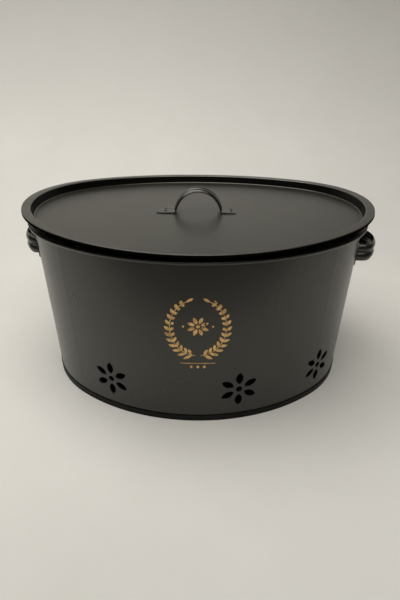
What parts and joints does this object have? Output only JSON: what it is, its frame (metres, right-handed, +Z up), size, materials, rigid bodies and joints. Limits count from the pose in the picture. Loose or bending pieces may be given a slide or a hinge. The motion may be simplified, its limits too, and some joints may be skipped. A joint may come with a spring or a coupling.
{
  "type": "potato storage bin",
  "caption": "Oval sheet-steel potato storage bin with flower-shaped vents, strap side handles and a loose lid with a sunken tray and an arched handle.",
  "frame": {"origin": "centre of the bounding box at the height of the ground", "axes": "+Z up, +X to the viewer's right along the bin's long side, front at -Y"},
  "size_m": [0.379, 0.298, 0.1972],
  "materials": {
    "body": "satin",
    "handles": "satin"
  },
  "bodies": {
    "bin": {"front_wall": "body", "back_wall": "body", "base_pan": "body", "right_handle": "handles", "left_handle": "handles"},
    "lid": {"lid_pan": "body", "lid_handle": "handles"}
  },
  "joints": [
    {"name": "lid_lift", "type": "slide", "parent": "bin", "child": "lid", "axis": [0, 0, 1], "range_m": [0, 0.12]}
  ]
}
